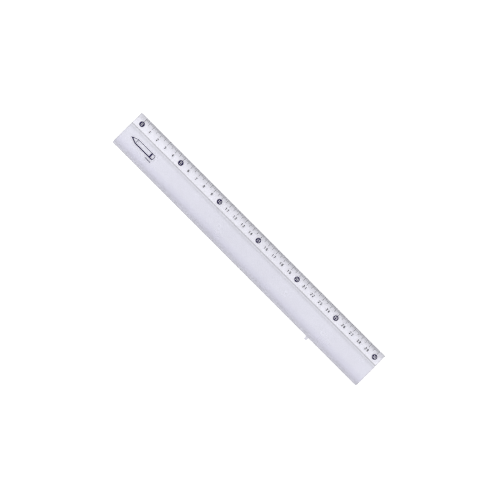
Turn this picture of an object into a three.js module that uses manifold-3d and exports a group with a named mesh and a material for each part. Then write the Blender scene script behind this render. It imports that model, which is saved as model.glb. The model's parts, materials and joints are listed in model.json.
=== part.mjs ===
// A 30 cm ruler: one clear plastic moulding with its scale and marks printed on the upper face.
// Millimetres, +Z up. The ruler rests on z = 0, with the origin at the centre of its underside.
// +X runs from the 0 mark to the 30 mark, and +Y points to the measuring edge.

import * as THREE from 'three';
import { mergeVertices } from 'three/addons/utils/BufferGeometryUtils.js';
import Module from 'manifold-3d';

const wasm = await Module();
wasm.setup();

// ---- Moulding ----
const SCALE_LENGTH = 300;
const MARGIN_AT_ZERO = 7.6; // from the end of the moulding to the 0 mark
const MARGIN_AT_THIRTY = 6.4;
const LENGTH = MARGIN_AT_ZERO + SCALE_LENGTH + MARGIN_AT_THIRTY;
const WIDTH = 37.8;
const CORNER_RADIUS = 0.4; // in plan

const BODY_THICKNESS = 2.6;
const EDGE_THICKNESS = 1.0; // at the measuring edge
const STRIP_WIDTH = 12.7; // the sloping strip that carries the scale
const STRIP_RISE = 0.8; // how much the strip thickens towards the step
const STEP_WIDTH = 2.1; // the ramp from the strip up to the body
const CROWN_START = 28.0; // where the body starts to fall away, from the measuring edge
const BEVEL_START = 34.2; // where the rear bevel starts, from the measuring edge
const BEVEL_THICKNESS = 2.2; // at the start of the rear bevel
const REAR_THICKNESS = 1.1; // at the rear edge
const EDGE_ROUND = 0.2; // small rounding of the long edges
const STEP_ROUND = 0.5; // rounding at the foot and at the top of the step
// The stub left on the rear edge where the plastic flowed into the mould.
const GATE = {
  at: 243.9, // from the 0 mark
  width: 3.2,
  tipWidth: 2.9,
  length: 3.4,
  rootDepth: 0.7, // how far it reaches into the moulding, so that the two join
  bottom: 0.15,
  height: 0.75,
};

// ---- Printing ----
const INK = 0.04;
const INK_GAP = 0.01; // clearance between a printed mark and the face below it
const BASELINE_FROM_EDGE = 0.3;
const BASELINE_WIDTH = 0.1;
const TICKS = {
  millimetre: { length: 2.35, width: 0.18 },
  five: { length: 4.1, width: 0.23 },
  centimetre: { length: 4.6, width: 0.25 },
};
const NUMERAL_ROW = 7.5; // centre of the numerals, from the measuring edge
const NUMERALS = { height: 2.6, width: 1.5, pen: 0.44, gap: 0.95 };
const DISC_ROW = 7.35; // centre of the discs, from the measuring edge
const DISC_DIAMETER = 5.1;
const DISC_EVERY = 5; // centimetres
const ONE_DIGIT_DISC = { height: 3.1, width: 2.0, pen: 0.56, gap: 0 };
const TWO_DIGIT_DISC = { height: 2.9, width: 1.6, pen: 0.5, gap: 0.25 };
const STENCIL_BRIDGE = 0.22; // keeps the middle of a cut-out 0 joined to its disc
const EMBLEM_CENTRE = 21.9; // from the measuring edge
// The pencil's lower side is drawn with a heavier pen, like a shaded edge.
const PENCIL = { start: 0.8, length: 29.3, height: 5.2, pen: 0.48, heavyPen: 0.95 };
const CAPTION = { length: 6.9, height: 0.65, centre: 26.9 };
const ARC_STEPS = 7; // straight pieces in a quarter turn of a disc

// ---- Materials ----
const clearPlastic = new THREE.MeshStandardMaterial({
  color: 0xdfdfea,
  roughness: 0.12,
  metalness: 0,
  transparent: true,
  opacity: 0.4,
});
const blackInk = new THREE.MeshStandardMaterial({ color: 0x26262a, roughness: 0.5, metalness: 0 });
const navyInk = new THREE.MeshStandardMaterial({ color: 0x2a2048, roughness: 0.5, metalness: 0 });

// ---- Solids ----
function toManifold(geometry) {
  const bare = geometry.clone();
  bare.deleteAttribute('normal');
  bare.deleteAttribute('uv');
  const merged = mergeVertices(bare, 1e-5);
  return new wasm.Manifold(new wasm.Mesh({
    numProp: 3,
    vertProperties: new Float32Array(merged.attributes.position.array),
    triVerts: new Uint32Array(merged.index.array),
  }));
}

function toGeometry(manifold) {
  const mesh = manifold.getMesh();
  const geometry = new THREE.BufferGeometry();
  geometry.setAttribute('position', new THREE.BufferAttribute(mesh.vertProperties, 3));
  geometry.setIndex(new THREE.BufferAttribute(mesh.triVerts, 1));
  geometry.computeVertexNormals();
  return geometry;
}

function plate(shape, thickness, curveSegments = ARC_STEPS) {
  return new THREE.ExtrudeGeometry(shape, {
    depth: thickness,
    bevelEnabled: false,
    curveSegments,
  });
}

function piece(name, geometry, material) {
  const mesh = new THREE.Mesh(geometry, material);
  mesh.name = name;
  return mesh;
}

// ---- The moulding ----
// The cross-section, with x from the rear edge (-) to the measuring edge (+) and y up.
function crossSection() {
  const front = WIDTH / 2;
  const rear = -WIDTH / 2;
  const stripTop = EDGE_THICKNESS + STRIP_RISE;
  const stepFoot = front - STRIP_WIDTH;
  const stepTop = stepFoot - STEP_WIDTH;
  const crownStart = front - CROWN_START;
  const bevelStart = front - BEVEL_START;
  const stripSlope = STRIP_RISE / STRIP_WIDTH;
  const rampSlope = (BODY_THICKNESS - stripTop) / STEP_WIDTH;
  const bevelSlope = (BEVEL_THICKNESS - REAR_THICKNESS) / (bevelStart - rear);

  const shape = new THREE.Shape();
  shape.moveTo(rear, 0);
  shape.lineTo(front, 0);
  shape.lineTo(front, EDGE_THICKNESS - EDGE_ROUND);
  shape.quadraticCurveTo(
    front, EDGE_THICKNESS,
    front - EDGE_ROUND, EDGE_THICKNESS + EDGE_ROUND * stripSlope,
  );
  shape.lineTo(stepFoot + STEP_ROUND, stripTop - STEP_ROUND * stripSlope);
  shape.quadraticCurveTo(
    stepFoot, stripTop,
    stepFoot - STEP_ROUND, stripTop + STEP_ROUND * rampSlope,
  );
  shape.lineTo(stepTop + STEP_ROUND, BODY_THICKNESS - STEP_ROUND * rampSlope);
  shape.quadraticCurveTo(stepTop, BODY_THICKNESS, stepTop - STEP_ROUND, BODY_THICKNESS);
  shape.lineTo(crownStart, BODY_THICKNESS);
  shape.quadraticCurveTo((crownStart + bevelStart) / 2, BODY_THICKNESS, bevelStart, BEVEL_THICKNESS);
  shape.lineTo(rear + EDGE_ROUND, REAR_THICKNESS + EDGE_ROUND * bevelSlope);
  shape.quadraticCurveTo(rear, REAR_THICKNESS, rear, REAR_THICKNESS - EDGE_ROUND);
  return shape;
}

function roundedRectangle(length, width, radius) {
  const x = length / 2 - radius;
  const y = width / 2 - radius;
  const shape = new THREE.Shape();
  shape.absarc(x, -y, radius, -Math.PI / 2, 0);
  shape.absarc(x, y, radius, 0, Math.PI / 2);
  shape.absarc(-x, y, radius, Math.PI / 2, Math.PI);
  shape.absarc(-x, -y, radius, Math.PI, Math.PI * 1.5);
  return shape;
}

function gateStub() {
  const root = -WIDTH / 2 + GATE.rootDepth;
  const tip = -WIDTH / 2 - GATE.length;
  const stub = plate(new THREE.Shape([
    new THREE.Vector2(-GATE.width / 2, root),
    new THREE.Vector2(-GATE.tipWidth / 2, tip),
    new THREE.Vector2(GATE.tipWidth / 2, tip),
    new THREE.Vector2(GATE.width / 2, root),
  ]), GATE.height);
  stub.translate(-LENGTH / 2 + MARGIN_AT_ZERO + GATE.at, 0, GATE.bottom);
  return toManifold(stub);
}

function blade() {
  const bar = plate(crossSection(), LENGTH);
  bar.rotateY(Math.PI / 2);
  bar.rotateX(Math.PI / 2);
  bar.translate(-LENGTH / 2, 0, 0);
  const outline = plate(roundedRectangle(LENGTH, WIDTH, CORNER_RADIUS), 2 * BODY_THICKNESS);
  outline.translate(0, 0, -BODY_THICKNESS / 2);
  return toGeometry(toManifold(bar).intersect(toManifold(outline)).add(gateStub()));
}

// ---- Numerals ----
// A digit is drawn by strokes: open ribbons along a centre line, and closed elliptical rings.
// Its centre line fits a box that is w wide and h high, centred on the origin.
function arc(cx, cy, rx, ry, fromDegrees, toDegrees, steps) {
  const curve = new THREE.EllipseCurve(
    cx, cy, rx, ry,
    THREE.MathUtils.degToRad(fromDegrees),
    THREE.MathUtils.degToRad(toDegrees),
    toDegrees < fromDegrees,
  );
  return curve.getPoints(steps);
}

function line(...pairs) {
  return pairs.map(([x, y]) => new THREE.Vector2(x, y));
}

// The outline of a line drawn with a broad pen: along one side and back along the other.
function ribbon(points, width) {
  const half = width / 2;
  const normals = points.slice(1).map((p, i) => {
    const along = p.clone().sub(points[i]).normalize();
    return new THREE.Vector2(-along.y, along.x);
  });
  const side = (sign) => points.flatMap((p, i) => {
    const before = normals[Math.max(i - 1, 0)];
    const after = normals[Math.min(i, normals.length - 1)];
    const offset = (n, reach) => p.clone().addScaledVector(n, sign * reach);
    const sharp = before.dot(after) < 0.5;
    const turn = before.cross(after) * sign;
    if (sharp && turn < 0) {
      return [offset(before, half), offset(after, half)];
    }
    const middle = before.clone().add(after).normalize();
    return [offset(middle, half / middle.dot(after))];
  });
  return new THREE.Shape([...side(-1), ...side(1).reverse()]);
}

function ring(cx, cy, rx, ry, width, steps) {
  const half = width / 2;
  const shape = new THREE.Shape(arc(cx, cy, rx + half, ry + half, 0, 360, steps).slice(1));
  shape.holes.push(new THREE.Path(arc(cx, cy, rx - half, ry - half, 0, 360, steps).slice(1)));
  return shape;
}

const DIGITS = {
  0: (w, h, pen) => [ring(0, 0, w / 2, h / 2, pen, 18)],
  1: (w, h, pen) => [ribbon(
    line([-0.35 * w, 0.27 * h], [0.1 * w, 0.5 * h], [0.1 * w, -(h + pen) / 2]),
    pen,
  )],
  2: (w, h, pen) => [ribbon([
    ...arc(0, 0.22 * h, 0.5 * w, 0.28 * h, 165, -25, 8),
    ...line([-0.5 * w, -0.5 * h], [0.5 * w, -0.5 * h]),
  ], pen)],
  3: (w, h, pen) => [
    ribbon(arc(0, 0.26 * h, 0.44 * w, 0.24 * h, 150, -90, 8), pen),
    ribbon(arc(0, -0.24 * h, 0.5 * w, 0.26 * h, 90, -150, 8), pen),
  ],
  4: (w, h, pen) => [
    ribbon(line([0.2 * w, 0.5 * h], [-0.5 * w, -0.2 * h], [0.6 * w, -0.2 * h]), pen),
    ribbon(line([0.2 * w, (h + pen) / 2], [0.2 * w, -(h + pen) / 2]), pen),
  ],
  5: (w, h, pen) => [ribbon([
    ...line([0.42 * w, 0.5 * h], [-0.36 * w, 0.5 * h]),
    ...arc(0, -0.18 * h, 0.5 * w, 0.32 * h, 148, -150, 9),
  ], pen)],
  6: (w, h, pen) => [
    ring(0, -0.2 * h, w / 2, 0.3 * h, pen, 14),
    ribbon([...line([-0.5 * w, -0.2 * h]), ...arc(0, 0, 0.5 * w, 0.5 * h, 180, 45, 6)], pen),
  ],
  7: (w, h, pen) => [ribbon(
    line([-0.5 * w, 0.5 * h], [0.5 * w, 0.5 * h], [-0.15 * w, -(h + pen) / 2]),
    pen,
  )],
  8: (w, h, pen) => [
    ring(0, 0.26 * h, 0.42 * w, 0.24 * h, pen, 12),
    ring(0, -0.24 * h, w / 2, 0.26 * h, pen, 14),
  ],
  9: (w, h, pen) => [
    ring(0, 0.2 * h, w / 2, 0.3 * h, pen, 14),
    ribbon([...line([0.5 * w, 0.2 * h]), ...arc(0, 0, 0.5 * w, 0.5 * h, 0, -135, 6)], pen),
  ],
};

function joined(shapes, thickness) {
  return shapes
    .map((shape) => toManifold(plate(shape, thickness)))
    .reduce((whole, next) => whole.add(next));
}

function digitSolid(digit, style, thickness) {
  const { width, height, pen } = style;
  return joined(DIGITS[digit](width - pen, height - pen, pen), thickness);
}

// A 0 in two halves, so that a disc it is cut from keeps the middle of the 0.
function stencilDigit(digit, style, thickness) {
  const solid = digitSolid(digit, style, thickness);
  if (digit !== '0') return solid;
  const bridge = new THREE.BoxGeometry(STENCIL_BRIDGE, 2 * style.height, 4 * thickness);
  return solid.subtract(toManifold(bridge));
}

function digitPlaces(text, style) {
  const pitch = style.width + style.gap;
  return [...text].map((digit, i) => ({ digit, x: (i - (text.length - 1) / 2) * pitch }));
}

function numeral(text, material) {
  const group = new THREE.Group();
  for (const [i, { digit, x }] of digitPlaces(text, NUMERALS).entries()) {
    const place = text.length === 1 ? '' : ['_tens', '_units'][i];
    const name = `numeral_${text.padStart(2, '0')}${place}`;
    const mesh = piece(name, toGeometry(digitSolid(digit, NUMERALS, INK)), material);
    mesh.position.x = x;
    group.add(mesh);
  }
  return group;
}

// ---- Discs: printed dots with the number left clear ----
function numberedDisc(text) {
  const dot = new THREE.Shape();
  dot.absarc(0, 0, DISC_DIAMETER / 2, 0, Math.PI * 2);
  let solid = toManifold(plate(dot, INK, 4 * ARC_STEPS));
  const style = text.length === 1 ? ONE_DIGIT_DISC : TWO_DIGIT_DISC;
  for (const { digit, x } of digitPlaces(text, style)) {
    solid = solid.subtract(stencilDigit(digit, style, 3 * INK).translate([x, 0, -INK]));
  }
  return toGeometry(solid);
}

// ---- Graduations: a comb of ticks on a hairline ----
function tickOf(millimetre) {
  if (millimetre % 10 === 0) return TICKS.centimetre;
  return millimetre % 5 === 0 ? TICKS.five : TICKS.millimetre;
}

function graduations() {
  const foot = -BASELINE_FROM_EDGE;
  const baseline = foot - BASELINE_WIDTH;
  const first = -TICKS.centimetre.width / 2;
  const comb = new THREE.Shape();
  comb.moveTo(first, foot);
  for (let mm = 0; mm <= SCALE_LENGTH; mm += 1) {
    const { length, width } = tickOf(mm);
    if (mm > 0) comb.lineTo(mm - width / 2, baseline);
    comb.lineTo(mm - width / 2, -length);
    comb.lineTo(mm + width / 2, -length);
    if (mm < SCALE_LENGTH) comb.lineTo(mm + width / 2, baseline);
  }
  comb.lineTo(SCALE_LENGTH - first, foot);
  return plate(comb, INK);
}

// ---- Emblem: a pencil in outline, its point towards the 0 mark ----
function rectangle(x0, x1, y0, y1) {
  return new THREE.Shape(line([x0, y0], [x1, y0], [x1, y1], [x0, y1]));
}

function pencil() {
  const { length, height, pen, heavyPen } = PENCIL;
  const half = height / 2;
  const top = half - pen; // the windows reach from bottom to top
  const bottom = heavyPen - half;
  const coneEnd = length * 0.24; // where the sharpened cone meets the barrel
  const leadEnd = length * 0.1;
  const ferruleStart = length * 0.83;
  const ferruleEnd = length * 0.88;
  const bulge = height * 0.3; // how far the rubber's end stands out

  const shape = new THREE.Shape();
  shape.absellipse(length - bulge, 0, bulge, half, -Math.PI / 2, Math.PI / 2);
  shape.lineTo(coneEnd, half);
  shape.lineTo(0, 0);
  shape.lineTo(coneEnd, -half);

  const slope = half / coneEnd;
  const coneSide = (x, width) => x * slope - width * Math.hypot(1, slope);
  const cone = new THREE.Shape(line(
    [leadEnd, -coneSide(leadEnd, heavyPen)],
    [coneEnd, -coneSide(coneEnd, heavyPen)],
    [coneEnd, coneSide(coneEnd, pen)],
    [leadEnd, coneSide(leadEnd, pen)],
  ));
  const rubber = new THREE.Shape();
  rubber.absellipse(
    length - bulge, (top + bottom) / 2, bulge - pen, (top - bottom) / 2, -Math.PI / 2, Math.PI / 2,
  );
  rubber.lineTo(ferruleEnd, top);
  rubber.lineTo(ferruleEnd, bottom);

  const barrel = rectangle(coneEnd + pen, ferruleStart, bottom, top);
  const cutter = joined([cone, barrel, rubber], 3 * INK).translate([0, 0, -INK]);
  return toManifold(plate(shape, INK)).subtract(cutter);
}

// ---- Assembly ----
function printedScale() {
  const group = new THREE.Group();
  group.add(piece('scale_ticks', graduations(), blackInk));
  for (let cm = 0; cm <= SCALE_LENGTH / 10; cm += 1) {
    if (cm % DISC_EVERY === 0) {
      const name = `disc_${String(cm).padStart(2, '0')}`;
      const disc = piece(name, numberedDisc(String(cm)), navyInk);
      disc.position.set(10 * cm, -DISC_ROW, 0);
      group.add(disc);
    } else {
      const number = numeral(String(cm), blackInk);
      number.position.set(10 * cm, -NUMERAL_ROW, 0);
      group.add(number);
    }
  }
  return group;
}

function printedMarks() {
  const group = new THREE.Group();
  const emblem = piece('emblem_pencil', toGeometry(pencil()), navyInk);
  emblem.position.set(PENCIL.start, -EMBLEM_CENTRE, 0);
  const caption = piece(
    'caption_bar',
    new THREE.BoxGeometry(CAPTION.length, CAPTION.height, INK),
    navyInk,
  );
  const right = PENCIL.start + PENCIL.length;
  caption.position.set(right - CAPTION.length / 2, -CAPTION.centre, INK / 2);
  group.add(emblem, caption);
  return group;
}

const ruler = new THREE.Group();
ruler.add(piece('blade', blade(), clearPlastic));

const zeroX = -LENGTH / 2 + MARGIN_AT_ZERO;
const stripTilt = Math.atan2(STRIP_RISE, STRIP_WIDTH);
const onStrip = printedScale();
onStrip.rotation.x = -stripTilt;
onStrip.position.set(
  zeroX,
  WIDTH / 2 + INK_GAP * Math.sin(stripTilt),
  EDGE_THICKNESS + INK_GAP * Math.cos(stripTilt),
);
ruler.add(onStrip);

const onBody = printedMarks();
onBody.position.set(zeroX, WIDTH / 2, BODY_THICKNESS + INK_GAP);
ruler.add(onBody);

export default ruler;
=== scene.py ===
"""A 30 cm ruler in clear plastic with a printed scale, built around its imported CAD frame.

Metres. +X runs from the 0 mark to the 30 mark, +Y points to the measuring edge, +Z out of the
printed face, and z = 0 is the flat underside. Drawings of the print are in millimetres.
"""

import json
import math
import random

import bmesh
import bpy
from mathutils import Matrix, Vector
from mathutils.bvhtree import BVHTree
from mathutils.geometry import delaunay_2d_cdt

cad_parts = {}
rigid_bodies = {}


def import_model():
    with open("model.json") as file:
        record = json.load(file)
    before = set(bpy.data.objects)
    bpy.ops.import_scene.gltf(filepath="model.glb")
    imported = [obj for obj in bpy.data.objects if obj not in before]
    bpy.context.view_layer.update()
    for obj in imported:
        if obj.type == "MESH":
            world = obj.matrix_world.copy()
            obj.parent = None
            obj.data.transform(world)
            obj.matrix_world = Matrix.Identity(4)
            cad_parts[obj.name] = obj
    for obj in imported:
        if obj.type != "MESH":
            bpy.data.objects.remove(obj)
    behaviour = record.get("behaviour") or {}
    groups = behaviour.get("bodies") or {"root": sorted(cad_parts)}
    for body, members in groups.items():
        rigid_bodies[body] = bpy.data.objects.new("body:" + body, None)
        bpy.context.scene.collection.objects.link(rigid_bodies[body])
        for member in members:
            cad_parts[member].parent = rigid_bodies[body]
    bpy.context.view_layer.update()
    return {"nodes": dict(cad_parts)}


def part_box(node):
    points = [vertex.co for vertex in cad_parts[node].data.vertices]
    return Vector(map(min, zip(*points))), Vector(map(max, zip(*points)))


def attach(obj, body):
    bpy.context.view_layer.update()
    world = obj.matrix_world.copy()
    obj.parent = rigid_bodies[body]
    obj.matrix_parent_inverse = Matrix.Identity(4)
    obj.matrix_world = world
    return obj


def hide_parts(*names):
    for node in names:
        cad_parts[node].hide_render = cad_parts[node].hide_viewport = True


for default in list(bpy.data.objects):
    bpy.data.objects.remove(default)

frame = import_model()

MM = 0.001
BODY = "root"

# ---------------------------------------------------------------- places, from the frame
BLADE_LOW, BLADE_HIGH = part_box("blade")
LEFT, RIGHT = BLADE_LOW.x, BLADE_HIGH.x
FRONT = BLADE_HIGH.y  # the measuring edge
REAR = -FRONT  # the frame is centred on the underside, and only the gate stub passes this


def centre(node):
    low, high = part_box(node)
    return (low + high) / 2


def size(node):
    low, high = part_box(node)
    return high - low


ZERO_X = centre("disc_00").x
THIRTY_CM = 30
CENTIMETRE = (centre("disc_30").x - ZERO_X) / THIRTY_CM

# Features of the moulding, as distances in from the measuring edge.
STEP_FOOT = 12.7 * MM
STEP_TOP = 14.8 * MM
BEVEL_START = 34.2 * MM
# The bevel narrows both radii all alike to fit the stub's broken end.
CORNER_RADIUS = 0.4 * MM
EDGE_RADIUS = 0.16 * MM
EDGE_BLEND = 0.3 * MM  # the CAD rounds its long edges inside this distance
STATION = 2.0 * MM
STUB_FLARE = 0.1 * MM  # the gate stub is this much wider on each side at its root
COARSE, FINE = 0.6 * MM, 0.1 * MM  # spacing of the points across the face
BEND_REACH = 0.9 * MM  # the fine spacing is used this close to a bend
CREASE = math.radians(50)  # an edge sharper than this is rounded

# Printing, in millimetres.
INK = 0.03
INK_GAP = 0.006
TICK_FOOT = 0.3  # the print stops this far from the measuring edge
TICK_LENGTHS = {"one": 2.35, "five": 4.1, "ten": size("scale_ticks").y / MM + TICK_FOOT}
TICK_WIDTHS = {"one": 0.18, "five": 0.23, "ten": 0.25}
DISC_EVERY = 5
DISC_DIAMETER = size("disc_00").x / MM
NUMERALS = {"height": 2.6, "width": 1.5, "pitch": 2.45, "pen": 0.44}
ONE_IN_DISC = {"height": 3.1, "width": 2.0, "pitch": 0.0, "pen": 0.56}
TWO_IN_DISC = {"height": 2.9, "width": 1.6, "pitch": 1.85, "pen": 0.5}
GRAIN = 0.22  # spacing of the unevenness along a printed edge
UNEVEN = 0.011  # and its typical size

# ---------------------------------------------------------------- view and light
RULER_ANGLE = math.radians(45.04)  # the ruler falls this far below the picture's horizontal
PICTURE_WIDTH = 455.6 * MM  # what the picture spans at the table
LENS, SENSOR = 120.0, 36.0
AIM_RIGHT, AIM_DOWN = 1.05 * MM, 0.85 * MM  # the ruler isn't quite in the middle of the picture
TABLE_DROP = 0.1 * MM
TABLE_GLOW = 0.45  # a light table, so that no shadow shows round the ruler
TABLE_REACH = 4.0
PAPER_TONES = (0.86, 0.88)
SOFTBOX_SIZE = (1.2, 0.8)
SOFTBOX_PLACE = (-0.9, 0.7, 1.3)
SOFTBOX_WATTS = 1.5
SKY_STRENGTH = 1.02
SKY_STOPS = [(0.0, 0.55), (0.3, 0.9), (0.7, 1.0), (0.955, 1.0), (0.985, 0.3), (1.0, 0.2)]

# ---------------------------------------------------------------- looks
PLASTIC_IOR = 1.49
ABSORPTION = 100.0  # per metre
TINT = (0.255, 0.25, 0.48, 1.0)
# Painted light and shade in the plastic's colour, its tone seen from above, as (millimetres in from
# the measuring edge, tone).
PAINTED_SHADING_STOPS = [
    (0.0, 0.73),  # painted shade at the measuring edge
    (2.0, 0.77),
    (4.0, 0.83),  # the strip, which thickens inwards, painted lighter further in
    (6.0, 0.91),
    (10.0, 0.95),
    (11.9, 0.98),
    (12.3, 0.725),  # the shaded foot of the step
    (13.0, 0.69),
    (13.4, 0.9),  # its slope
    (14.8, 0.805),  # painted shade along its upper bend
    (15.4, 0.885),
    (17.0, 0.94),  # the flat body
    (27.0, 0.935),
    (32.0, 0.86),  # painted shade on the fall to the rear
    (33.7, 0.77),  # painted shade on the rear bevel, whose frost is in the roughness
    (37.4, 0.8),
    (38.1, 0.9),  # the gate stub
]
CAST_STOPS = [
    (0.0, (0.975, 0.972, 1.0)),
    (10.0, (0.99, 0.987, 1.0)),
    (12.0, (1.0, 1.0, 1.0)),
    (27.0, (1.0, 1.0, 1.0)),
    (33.0, (1.0, 0.995, 1.035)),
]
# Tones that multiply it: painted shade darkening towards the ruler's edges, as (share of the rim's
# depth, tone), and (share of the length, tone).
RIM_DEPTH = 2.0 * MM
PAINTED_RIM_SHADE_STOPS = [(0.0, 0.9), (0.2, 0.95), (0.5, 1.0)]
DRIFT_STOPS = [(0.0, 1.0), (0.45, 0.965), (1.0, 0.98)]
CLOUDS = [(0.0, (0.98, 0.978, 0.985)), (1.0, (0.997, 0.996, 1.0))]
FROST_STOPS = [(33.9, 0.0), (34.4, 0.22), (37.8, 0.25)]  # added roughness, placed as the tone is
UNDERSIDE_MATT = 0.25  # added roughness of the underside, which rests on the table
MATT_DEPTH = 0.05 * MM
POLISH = (0.02, 0.07)  # roughness of a polished face, from its clearest to its most handled
SCRATCH_COLOUR = (0.93, 0.93, 0.95, 1.0)
SCRATCH_ROUGHNESS = 0.12
SCRATCHES = ((0.02, 0.74), (-0.35, 0.78), (0.9, 0.8), (1.9, 0.81))  # (direction, rarity)
BUMP_DEPTH = 0.05 * MM
SINK_SHARE, PEEL_SHARE, SCRATCH_SHARE = 0.9, 0.02, 0.04  # of the bump's depth
INK_SHEEN = 0.25


# ================================================================ meshes
def new_object(name, data):
    made = bpy.data.objects.new(name, data)
    bpy.context.scene.collection.objects.link(made)
    return made


def mesh_from(bm, name):
    bmesh.ops.recalc_face_normals(bm, faces=bm.faces)
    mesh = bpy.data.meshes.new(name)
    bm.to_mesh(mesh)
    bm.free()
    return mesh


def finish_piece(piece, slot, nodes):
    """Gives the piece its material, parents it to the body, and hides the CAD parts it stands in
    for.
    """
    piece.data.materials.clear()
    piece.data.materials.append(MATERIALS[slot])
    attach(piece, BODY)
    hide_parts(*nodes)


# ================================================================ the moulding
def cad_surface():
    graph = bpy.context.evaluated_depsgraph_get()
    return BVHTree.FromObject(frame["nodes"]["blade"], graph)


SURFACE = cad_surface()


def top_height(y):
    """Height of the printed face at a place across the ruler."""
    hit, _, _, _ = SURFACE.ray_cast(Vector((0, y, 1)), Vector((0, 0, -1)))
    return hit.z


def edge_height(y, inward):
    """Height that the face would reach at a long edge if the edge weren't rounded."""
    near = top_height(y + inward * EDGE_BLEND)
    far = top_height(y + 2 * inward * EDGE_BLEND)
    return 2 * near - far


def face_points():
    """(y, z) of the printed face from rear to front, closer together where it bends."""
    bends = [FRONT - distance for distance in (STEP_FOOT, STEP_TOP, BEVEL_START)]
    points = [(REAR, edge_height(REAR, 1))]
    y = REAR + EDGE_BLEND
    while y < FRONT - EDGE_BLEND:
        points.append((y, top_height(y)))
        bending = min(abs(y - bend) for bend in bends) < BEND_REACH
        y += FINE if bending else COARSE
    points.append((FRONT, edge_height(FRONT, -1)))
    return points


def stub_box():
    """Lowest and highest corner of the gate stub's free end."""
    vertices = frame["nodes"]["blade"].data.vertices
    corners = [v.co for v in vertices if v.co.y < REAR - EDGE_BLEND]
    low = Vector([min(c[i] for c in corners) for i in range(3)])
    high = Vector([max(c[i] for c in corners) for i in range(3)])
    return low, high


def stations(stub_left, stub_right):
    """x of the cross-sections, with one at each side of the stub and none inside it."""
    count = round((RIGHT - LEFT) / STATION)
    evenly = [LEFT + (RIGHT - LEFT) * i / count for i in range(count + 1)]
    room = STATION / 3
    clear = [x for x in evenly if not stub_left - room < x < stub_right + room]
    return sorted(clear + [stub_left, stub_right])


def grow_stub(bm, root, reach):
    """Pulls the stub out of the rear wall in steps and leaves its end as a rough break."""
    rough = random.Random(3)
    middle = root.calc_center_median()
    end = root
    for share in (0.3, 0.65, 1.0):
        end = bmesh.ops.extrude_discrete_faces(bm, faces=[end])["faces"][0]
        for vert in end.verts:
            vert.co.y = REAR + (reach - REAR) * share + rough.uniform(0, 0.2) * MM
            vert.co.x += (middle.x - vert.co.x) * 0.04 + rough.uniform(-0.03, 0.03) * MM
    broken = bmesh.ops.subdivide_edges(bm, edges=list(end.edges), cuts=5, use_grid_fill=True)
    inner = {v for v in broken["geom_inner"] if isinstance(v, bmesh.types.BMVert)}
    for vert in sorted(inner, key=lambda v: tuple(v.co)):  # a set's own order isn't fixed
        vert.co.y += rough.uniform(0, 0.2) * MM


def weigh_edges(bm):
    """Marks the upright corners for the plan radius and every other crease for a small one."""
    weight = bm.edges.layers.float.new("bevel_weight_edge")
    for edge in bm.edges:
        if edge.calc_face_angle(0) < CREASE:
            continue
        a, b = (vert.co for vert in edge.verts)
        upright = (a - b).xy.length < 1e-7
        at_end = min(abs(a.x - LEFT), abs(a.x - RIGHT)) < 1e-6
        edge[weight] = 1.0 if upright and at_end else EDGE_RADIUS / CORNER_RADIUS


def build_moulding():
    """The blade: cross-sections of the CAD's printed face, joined along the length."""
    stub_low, stub_high = stub_box()
    stub_left, stub_right = stub_low.x - STUB_FLARE, stub_high.x + STUB_FLARE
    rear_wall = [(REAR, 0.0), (REAR, stub_low.z), (REAR, stub_high.z)]
    outline = [(FRONT, 0.0)] + rear_wall + face_points()
    bm = bmesh.new()
    rings = [
        [bm.verts.new((x, y, z)) for y, z in outline]
        for x in stations(stub_left, stub_right)
    ]
    root = None
    for ring, following in zip(rings, rings[1:]):
        for j, vert in enumerate(ring):
            k = (j + 1) % len(ring)
            quad = bm.faces.new((vert, ring[k], following[k], following[j]))
            beside_stub = abs(vert.co.x - stub_left) < 1e-6
            if beside_stub and outline[j] == rear_wall[1]:
                root = quad
    bm.faces.new(rings[0][::-1])
    bm.faces.new(rings[-1])
    bmesh.ops.recalc_face_normals(bm, faces=bm.faces)
    grow_stub(bm, root, stub_low.y)
    weigh_edges(bm)
    piece = new_object("moulding", mesh_from(bm, "moulding"))
    rounding = piece.modifiers.new("rounding", "BEVEL")
    rounding.limit_method = "WEIGHT"
    rounding.width = CORNER_RADIUS
    rounding.segments = 4
    rounding.harden_normals = True
    piece.data.shade_smooth()
    finish_piece(piece, "clear_plastic", ["blade"])
    return piece


# ================================================================ drawing, in millimetres
# A patch is (outer loop, list of hole loops), and a loop is a list of 2D vectors.
def arc(cx, cy, rx, ry, start, end, steps):
    angles = [math.radians(start + (end - start) * i / steps) for i in range(steps + 1)]
    return [Vector((cx + rx * math.cos(a), cy + ry * math.sin(a))) for a in angles]


def line(*pairs):
    return [Vector(pair) for pair in pairs]


def rectangle(x0, x1, y0, y1):
    return line((x0, y0), (x1, y0), (x1, y1), (x0, y1))


def side_of(points, offset):
    """The points moved sideways, with a flat corner outside each sharp turn."""
    along = [(b - a).normalized() for a, b in zip(points, points[1:])]
    normals = [Vector((-d.y, d.x)) for d in along]
    moved = []
    for i, point in enumerate(points):
        before, after = normals[max(i - 1, 0)], normals[min(i, len(normals) - 1)]
        turn = before.x * after.y - before.y * after.x
        if before.dot(after) < 0.5 and turn * offset < 0:
            moved += [point + before * offset, point + after * offset]
        else:
            middle = (before + after).normalized()
            moved.append(point + middle * (offset / middle.dot(after)))
    return moved


def ribbon(points, pen):
    return side_of(points, -pen / 2) + side_of(points, pen / 2)[::-1], []


def ring(cx, cy, rx, ry, pen):
    outer = arc(cx, cy, rx + pen / 2, ry + pen / 2, 0, 360, 36)[:-1]
    inner = arc(cx, cy, rx - pen / 2, ry - pen / 2, 0, 360, 36)[:-1]
    return outer, [inner]


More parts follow.
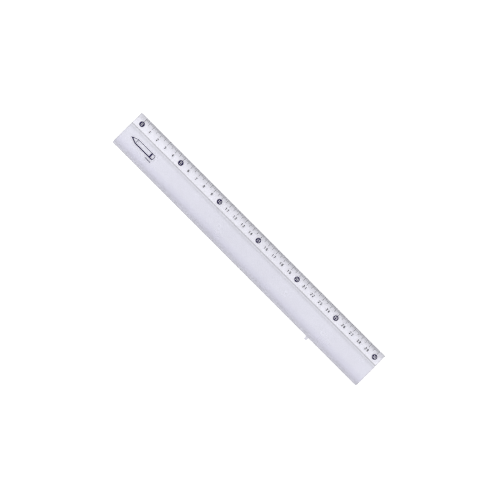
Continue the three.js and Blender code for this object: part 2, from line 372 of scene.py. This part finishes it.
def digit_patches(digit, style):
    """One digit, centred on the origin, as strokes of one pen."""
    w, h, pen = style["width"], style["height"], style["pen"]
    w, h = w - pen, h - pen
    foot = -(h + pen) / 2
    if digit == "0":
        return [ring(0, 0, w / 2, h / 2, pen)]
    if digit == "1":
        flag = line((-0.35 * w, 0.27 * h), (0.1 * w, 0.5 * h), (0.1 * w, foot))
        return [ribbon(flag, pen)]
    if digit == "2":
        bowl = arc(0, 0.22 * h, 0.5 * w, 0.28 * h, 165, -25, 18)
        return [ribbon(bowl + line((-0.5 * w, -0.5 * h), (0.5 * w, -0.5 * h)), pen)]
    if digit == "3":
        upper = arc(0, 0.26 * h, 0.44 * w, 0.24 * h, 150, -90, 18)
        lower = arc(0, -0.24 * h, 0.5 * w, 0.26 * h, 90, -150, 18)
        return [ribbon(upper, pen), ribbon(lower, pen)]
    if digit == "4":
        hook = line((0.2 * w, 0.5 * h), (-0.5 * w, -0.2 * h), (0.6 * w, -0.2 * h))
        stem = line((0.2 * w, -foot), (0.2 * w, foot))
        return [ribbon(hook, pen), ribbon(stem, pen)]
    if digit == "5":
        top = line((0.42 * w, 0.5 * h), (-0.36 * w, 0.5 * h))
        return [ribbon(top + arc(0, -0.18 * h, 0.5 * w, 0.32 * h, 148, -150, 20), pen)]
    if digit == "7":
        bar = line((-0.5 * w, 0.5 * h), (0.5 * w, 0.5 * h), (-0.15 * w, foot))
        return [ribbon(bar, pen)]
    if digit == "8":
        upper = ring(0, 0.26 * h, 0.42 * w, 0.24 * h, pen)
        return [upper, ring(0, -0.24 * h, 0.5 * w, 0.26 * h, pen)]
    turn = 1 if digit == "6" else -1  # a 9 is a 6 turned by half
    tail = line((-0.5 * w * turn, -0.2 * h * turn))
    tail += arc(0, 0, 0.5 * w * turn, 0.5 * h * turn, 180, 45, 14)
    return [ring(0, -0.2 * h * turn, w / 2, 0.3 * h, pen), ribbon(tail, pen)]


def shifted(patches, x, y):
    by = Vector((x, y))

    def moved(loop):
        return [point + by for point in loop]

    return [(moved(outer), [moved(hole) for hole in holes]) for outer, holes in patches]


def number_patches(text, style, x, y):
    """A whole number, centred on (x, y)."""
    patches = []
    for i, digit in enumerate(text):
        across = (i - (len(text) - 1) / 2) * style["pitch"]
        patches += shifted(digit_patches(digit, style), x + across, y)
    return patches


def uneven(loop, rough):
    """The loop with points added along it, each a little off its line, as ink spreads."""
    moved = []
    for a, b in zip(loop, loop[1:] + loop[:1]):
        parts = max(1, round((b - a).length / GRAIN))
        for i in range(parts):
            off = Vector((rough.gauss(0, UNEVEN), rough.gauss(0, UNEVEN)))
            moved.append(a.lerp(b, i / parts) + off)
    return moved


def anticlockwise(loop):
    doubled = sum(a.x * b.y - b.x * a.y for a, b in zip(loop, loop[1:] + loop[:1]))
    return loop if doubled > 0 else loop[::-1]


def covered(patches, faces_here):
    return any(
        outer in faces_here and not any(hole in faces_here for hole in holes)
        for outer, holes in patches
    )


def ink_solid(name, patches, cuts, plane, seed):
    """A thin solid over every spot that lies in a patch and in none of the cuts."""
    rough = random.Random(seed)
    points, loops = [], []

    def add(loop):
        loop = anticlockwise(uneven(loop, rough))
        loops.append(list(range(len(points), len(points) + len(loop))))
        points.extend(loop)
        return len(loops) - 1

    def index(group):
        return [(add(outer), [add(hole) for hole in holes]) for outer, holes in group]

    inked, cleared = index(patches), index(cuts)
    flat, _, triangles, _, _, sources = delaunay_2d_cdt(points, [], loops, 1, 1e-5)
    bm = bmesh.new()
    low = [bm.verts.new((p.x, p.y, INK_GAP)) for p in flat]
    high = [bm.verts.new((p.x, p.y, INK_GAP + INK)) for p in flat]
    for triangle, here in zip(triangles, sources):
        if covered(inked, here) and not covered(cleared, here):
            bm.faces.new([high[i] for i in triangle])
            bm.faces.new([low[i] for i in reversed(triangle)])
    twin = dict(zip(high, low)) | dict(zip(low, high))
    for edge in [e for e in bm.edges if len(e.link_faces) == 1 and e.verts[0] in high]:
        a, b = edge.verts
        bm.faces.new((a, b, twin[b], twin[a]))
    bmesh.ops.delete(bm, geom=[v for v in bm.verts if not v.link_faces], context="VERTS")
    bm.transform(plane @ Matrix.Scale(MM, 4))
    return new_object(name, mesh_from(bm, name))


# ================================================================ the print
def strip_plane():
    """Lays a drawing on the scale strip: x from the 0 mark, y inwards (-) from the edge."""
    near = FRONT - EDGE_BLEND
    far = FRONT - STEP_FOOT / 2
    rise = (top_height(far) - top_height(near)) / (near - far)
    origin = Vector((ZERO_X, FRONT, edge_height(FRONT, -1)))
    return Matrix.Translation(origin) @ Matrix.Rotation(-math.atan(rise), 4, "X")


def body_plane():
    """The same for the flat top of the body."""
    return Matrix.Translation((ZERO_X, FRONT, top_height(0)))


ON_STRIP, ON_BODY = strip_plane(), body_plane()


def drawn_at(node, plane):
    """A node's centre in the drawing on that plane."""
    place = plane.inverted() @ centre(node)
    return place.x / MM, place.y / MM


def build_graduations():
    ticks = []
    for mm in range(10 * THIRTY_CM + 1):
        kind = "ten" if mm % 10 == 0 else "five" if mm % 5 == 0 else "one"
        half = TICK_WIDTHS[kind] / 2
        x = mm * CENTIMETRE / MM / 10
        ticks.append((rectangle(x - half, x + half, -TICK_LENGTHS[kind], -TICK_FOOT), []))
    piece = ink_solid("graduations", ticks, [], ON_STRIP, seed=1)
    finish_piece(piece, "black_ink", ["scale_ticks"])


def build_numeral(cm):
    text = str(cm)
    node = f"numeral_{cm:02d}"
    nodes = [node] if cm < 10 else [node + "_tens", node + "_units"]
    _, y = drawn_at(nodes[0], ON_STRIP)
    patches = number_patches(text, NUMERALS, cm * CENTIMETRE / MM, y)
    piece = ink_solid(f"number_{text}", patches, [], ON_STRIP, seed=100 + cm)
    finish_piece(piece, "black_ink", nodes)


def build_disc(cm):
    text = str(cm)
    node = f"disc_{cm:02d}"
    x, y = drawn_at(node, ON_STRIP)
    radius = DISC_DIAMETER / 2
    dot = (arc(x, y, radius, radius, 0, 360, 72)[:-1], [])
    style = ONE_IN_DISC if cm < 10 else TWO_IN_DISC
    cuts = number_patches(text, style, x, y)
    piece = ink_solid(f"numbered_disc_{text}", [dot], cuts, ON_STRIP, seed=200 + cm)
    finish_piece(piece, "navy_ink", [node])


def build_pencil():
    """A pencil in outline, point towards the 0 mark, its lower side drawn heavier."""
    node = "emblem_pencil"
    x, y = drawn_at(node, ON_BODY)
    length, height = size(node).x / MM, size(node).y / MM
    pen, heavy_pen = 0.092 * height, 0.183 * height
    half = height / 2
    top, bottom = half - pen, heavy_pen - half
    cone_end, lead_end = 0.24 * length, 0.1 * length
    ferrule_start, ferrule_end = 0.83 * length, 0.88 * length
    bulge = 0.3 * height

    outline = arc(length - bulge, 0, bulge, half, -90, 90, 24)
    outline += line((cone_end, half), (0, 0), (cone_end, -half))
    slope = half / cone_end
    upper = lead_end * slope - pen * math.hypot(1, slope)
    lower = heavy_pen * math.hypot(1, slope) - lead_end * slope
    cone = line((lead_end, upper), (lead_end, lower), (cone_end, bottom), (cone_end, top))
    middle, reach = (top + bottom) / 2, (top - bottom) / 2
    rubber = arc(length - bulge, middle, bulge - pen, reach, -90, 90, 24)
    rubber += line((ferrule_end, top), (ferrule_end, bottom))
    barrel = rectangle(cone_end + pen, ferrule_start, bottom, top)
    patches = shifted([(outline, [cone, barrel, rubber])], x - length / 2, y)
    piece = ink_solid("pencil_emblem", patches, [], ON_BODY, seed=300)
    finish_piece(piece, "navy_ink", [node])


def build_caption():
    node = "caption_bar"
    x, y = drawn_at(node, ON_BODY)
    length, height = size(node).x / MM, size(node).y / MM
    half = length / 2
    bar = rectangle(x - half, x + half, y - height / 2, y + height / 2)
    piece = ink_solid("caption_line", [(bar, [])], [], ON_BODY, seed=301)
    finish_piece(piece, "navy_ink", [node])


# ================================================================ materials
class Nodes:
    """Shorthand for building a node tree."""

    def __init__(self, tree):
        self.tree = tree
        tree.nodes.clear()

    def add(self, kind, settings=None, **inputs):
        """A node with its settings, and its inputs given as values or as linked sockets."""
        node = self.tree.nodes.new(kind)
        for name, value in (settings or {}).items():
            setattr(node, name, value)
        for name, value in inputs.items():
            self.put(node, name.replace("_", " "), value)
        return node

    def put(self, node, key, value):
        socket = node.inputs[key]
        if isinstance(value, bpy.types.NodeSocket):
            self.tree.links.new(value, socket)
        else:
            socket.default_value = value

    def math(self, operation, *values):
        node = self.add("ShaderNodeMath", {"operation": operation})
        for i, value in enumerate(values):
            self.put(node, i, value)
        return node.outputs[0]

    def spread(self, value, low, high, to_low=0.0, to_high=1.0):
        """The value mapped from one range to another, and held inside it."""
        node = self.add("ShaderNodeMapRange")
        for key, number in zip(range(5), (value, low, high, to_low, to_high)):
            self.put(node, key, number)
        return node.outputs[0]

    def ramp(self, value, stops, smooth=False):
        node = self.add("ShaderNodeValToRGB", Fac=value)
        node.color_ramp.interpolation = "EASE" if smooth else "LINEAR"
        elements = node.color_ramp.elements
        while len(elements) < len(stops):
            elements.new(0.5)
        for element, (place, shade) in zip(elements, sorted(stops)):
            element.position = place
            element.color = (*shade, 1.0) if isinstance(shade, tuple) else (shade,) * 3 + (1.0,)
        return node.outputs["Color"]

    def noise(self, place, scale, detail=2.0, stretch=(1, 1, 1), turn=0.0):
        mapping = self.add("ShaderNodeMapping", Vector=place)
        mapping.inputs["Rotation"].default_value = (0, 0, turn)
        mapping.inputs["Scale"].default_value = stretch
        noise = self.add("ShaderNodeTexNoise", Vector=mapping.outputs[0], Scale=scale, Detail=detail)
        return noise.outputs["Fac"]

    def blend(self, amount, a, b, mode="MIX"):
        node = self.add("ShaderNodeMix", {"data_type": "RGBA", "blend_type": mode})
        for key, value in ((0, amount), (6, a), (7, b)):
            self.put(node, key, value)
        return node.outputs[2]


def grey(value):
    return (value, value, value, 1.0)


def scratches(nodes, place):
    """Hairlines from handling: mostly along the ruler, some across it."""
    total = 0.0
    for turn, rarity in SCRATCHES:
        hair = nodes.noise(place, 60, 1.0, stretch=(0.35, 60, 1), turn=turn)
        fine = nodes.spread(hair, rarity, rarity + 0.05)
        total = nodes.math("MAXIMUM", total, fine)
    return total


def across_ramp(nodes, place, stops):
    """A value that follows the cross-section; stops are (mm in from the edge, value)."""
    y = nodes.add("ShaderNodeSeparateXYZ", Vector=place).outputs["Y"]
    share = nodes.spread(y, FRONT, BLADE_LOW.y)
    width = (FRONT - BLADE_LOW.y) / MM
    return nodes.ramp(share, [(distance / width, shade) for distance, shade in stops])


def inset(nodes, place):
    """Distance in from the nearest edge of the ruler, seen from above."""
    split = nodes.add("ShaderNodeSeparateXYZ", Vector=place)
    from_end = nodes.math("SUBTRACT", RIGHT, nodes.math("ABSOLUTE", split.outputs["X"]))
    from_side = nodes.math("SUBTRACT", FRONT, nodes.math("ABSOLUTE", split.outputs["Y"]))
    return nodes.math("MINIMUM", from_end, from_side)


def clear_plastic():
    material = bpy.data.materials.new("clear_plastic")
    material.use_nodes = True
    nodes = Nodes(material.node_tree)
    place = nodes.add("ShaderNodeTexCoord").outputs["Object"]
    hairs = scratches(nodes, place)
    smudge = nodes.noise(place, 45, 4.0)
    cloud = nodes.noise(place, 18, 2.0)

    # painted light and shade across the section, as the plastic looks from above
    tone = across_ramp(nodes, place, PAINTED_SHADING_STOPS)
    # painted shade, darker towards the ruler's edges seen from above
    rim_shade = nodes.ramp(nodes.spread(inset(nodes, place), 0.0, RIM_DEPTH), PAINTED_RIM_SHADE_STOPS)
    tone = nodes.blend(1.0, tone, rim_shade, "MULTIPLY")
    x = nodes.add("ShaderNodeSeparateXYZ", Vector=place).outputs["X"]
    drift = nodes.ramp(nodes.spread(x, LEFT, RIGHT), DRIFT_STOPS)
    tone = nodes.blend(1.0, tone, drift, "MULTIPLY")
    tone = nodes.blend(1.0, tone, across_ramp(nodes, place, CAST_STOPS), "MULTIPLY")
    cloudy = nodes.ramp(nodes.spread(cloud, 0.3, 0.7), CLOUDS)
    tone = nodes.blend(1.0, tone, cloudy, "MULTIPLY")
    colour = nodes.blend(hairs, tone, SCRATCH_COLOUR)

    frosted = across_ramp(nodes, place, FROST_STOPS)
    rough = nodes.spread(smudge, 0.35, 0.7, *POLISH)
    rough = nodes.math("ADD", rough, nodes.math("MULTIPLY", hairs, SCRATCH_ROUGHNESS))
    rough = nodes.math("ADD", rough, frosted)
    z = nodes.add("ShaderNodeSeparateXYZ", Vector=place).outputs["Z"]
    rough = nodes.math("ADD", rough, nodes.spread(z, 0.0, MATT_DEPTH, UNDERSIDE_MATT, 0.0))

    sink = nodes.noise(place, 30, 1.0, stretch=(1, 2, 1))
    peel = nodes.noise(place, 900, 2.0)
    height = nodes.math("MULTIPLY", sink, SINK_SHARE)
    height = nodes.math("ADD", height, nodes.math("MULTIPLY", peel, PEEL_SHARE))
    height = nodes.math("SUBTRACT", height, nodes.math("MULTIPLY", hairs, SCRATCH_SHARE))
    bump = nodes.add("ShaderNodeBump", Height=height, Strength=0.5, Distance=BUMP_DEPTH)

    surface = nodes.add("ShaderNodeBsdfPrincipled", Roughness=rough, IOR=PLASTIC_IOR)
    nodes.put(surface, "Base Color", colour)
    nodes.put(surface, "Normal", bump.outputs[0])
    surface.inputs["Transmission Weight"].default_value = 1.0
    tint = nodes.add("ShaderNodeVolumeAbsorption", Density=ABSORPTION, Color=TINT)
    output = nodes.add("ShaderNodeOutputMaterial", Surface=surface.outputs[0])
    nodes.put(output, "Volume", tint.outputs[0])
    return material


def ink(name, colour, worn_colour):
    """Printed ink: a little mottled, with pinholes and rubbed spots where plastic shows."""
    material = bpy.data.materials.new(name)
    material.use_nodes = True
    nodes = Nodes(material.node_tree)
    place = nodes.add("ShaderNodeTexCoord").outputs["Object"]
    mottle = nodes.noise(place, 1400, 3.0)
    rubbed = nodes.noise(place, 5200, 2.0)
    hairs = scratches(nodes, place)
    lighter = tuple(1.5 * c + 0.004 for c in colour)
    base = nodes.blend(nodes.spread(mottle, 0.35, 0.7), (*colour, 1.0), (*lighter, 1.0))
    worn = nodes.math("MAXIMUM", nodes.spread(rubbed, 0.74, 0.8), nodes.math("MULTIPLY", hairs, 0.4))
    base = nodes.blend(worn, base, (*worn_colour, 1.0))
    rough = nodes.spread(mottle, 0.3, 0.7, 0.32, 0.55)
    grain = nodes.noise(place, 9000, 2.0)
    bump = nodes.add("ShaderNodeBump", Height=grain, Strength=0.4, Distance=0.01 * MM)
    surface = nodes.add("ShaderNodeBsdfPrincipled", Roughness=rough)
    surface.inputs["Specular IOR Level"].default_value = INK_SHEEN
    nodes.put(surface, "Base Color", base)
    nodes.put(surface, "Normal", bump.outputs[0])
    nodes.add("ShaderNodeOutputMaterial", Surface=surface.outputs[0])
    return material


MATERIALS = {
    "clear_plastic": clear_plastic(),
    "black_ink": ink("black_ink", (0.006, 0.006, 0.007), (0.3, 0.3, 0.34)),
    "navy_ink": ink("navy_ink", (0.012, 0.007, 0.05), (0.25, 0.22, 0.4)),
}


# ================================================================ stage
def build_table():
    bm = bmesh.new()
    bmesh.ops.create_grid(bm, x_segments=1, y_segments=1, size=TABLE_REACH)
    table = new_object("table", mesh_from(bm, "table"))
    table.location.z = -TABLE_DROP
    material = bpy.data.materials.new("table")
    material.use_nodes = True
    nodes = Nodes(material.node_tree)
    place = nodes.add("ShaderNodeTexCoord").outputs["Object"]
    fibre = nodes.spread(nodes.noise(place, 300, 4.0), 0.3, 0.7)
    colour = nodes.blend(fibre, *[grey(tone) for tone in PAPER_TONES])
    paper = nodes.add("ShaderNodeBsdfDiffuse", Color=colour)
    glow = nodes.add("ShaderNodeEmission", Strength=TABLE_GLOW)
    lit = nodes.add("ShaderNodeAddShader")
    nodes.put(lit, 0, paper.outputs[0])
    nodes.put(lit, 1, glow.outputs[0])
    below = nodes.add("ShaderNodeBsdfTransparent")
    side = nodes.add("ShaderNodeNewGeometry").outputs["Backfacing"]
    mixed = nodes.add("ShaderNodeMixShader", Fac=side)
    nodes.put(mixed, 1, lit.outputs[0])
    nodes.put(mixed, 2, below.outputs[0])
    nodes.add("ShaderNodeOutputMaterial", Surface=mixed.outputs[0])
    table.data.materials.append(material)


def build_sky():
    """A bright studio dome that is darker straight overhead, where the camera is."""
    world = bpy.data.worlds.new("studio")
    world.use_nodes = True
    bpy.context.scene.world = world
    nodes = Nodes(world.node_tree)
    direction = nodes.add("ShaderNodeTexCoord").outputs["Generated"]
    rise = nodes.add("ShaderNodeSeparateXYZ", Vector=direction).outputs["Z"]
    shade = nodes.ramp(rise, SKY_STOPS)
    sky = nodes.add("ShaderNodeBackground", Color=shade, Strength=SKY_STRENGTH)
    nodes.add("ShaderNodeOutputWorld", Surface=sky.outputs[0])


def build_softbox():
    light = bpy.data.lights.new("softbox", "AREA")
    light.shape = "RECTANGLE"
    light.size, light.size_y = SOFTBOX_SIZE
    light.energy = SOFTBOX_WATTS
    softbox = new_object("softbox", light)
    softbox.location = SOFTBOX_PLACE
    softbox.rotation_mode = "QUATERNION"
    softbox.rotation_quaternion = (-softbox.location).to_track_quat("-Z", "Y")


def build_camera():
    data = bpy.data.cameras.new("camera")
    data.lens, data.sensor_width = LENS, SENSOR
    data.clip_start, data.clip_end = 0.05, 20.0
    camera = new_object("camera", data)
    right = Vector((math.cos(RULER_ANGLE), math.sin(RULER_ANGLE), 0))
    down = Vector((math.sin(RULER_ANGLE), -math.cos(RULER_ANGLE), 0))
    camera.location = right * AIM_RIGHT + down * AIM_DOWN
    camera.location.z = PICTURE_WIDTH * LENS / SENSOR + BLADE_HIGH.z
    camera.rotation_euler = (0, 0, RULER_ANGLE)
    bpy.context.scene.camera = camera


build_moulding()
build_graduations()
for cm in range(THIRTY_CM + 1):
    if cm % DISC_EVERY == 0:
        build_disc(cm)
    else:
        build_numeral(cm)
build_pencil()
build_caption()
build_table()
build_sky()
build_softbox()
build_camera()
bpy.context.scene.view_settings.view_transform = "Standard"
bpy.context.scene.cycles.blur_glossy = 0.0  # blurred refraction would darken the table below
bpy.context.scene.cycles.denoising_prefilter = "NONE"  # this and the next keep the print crisp
bpy.context.scene.cycles.filter_width = 1.2
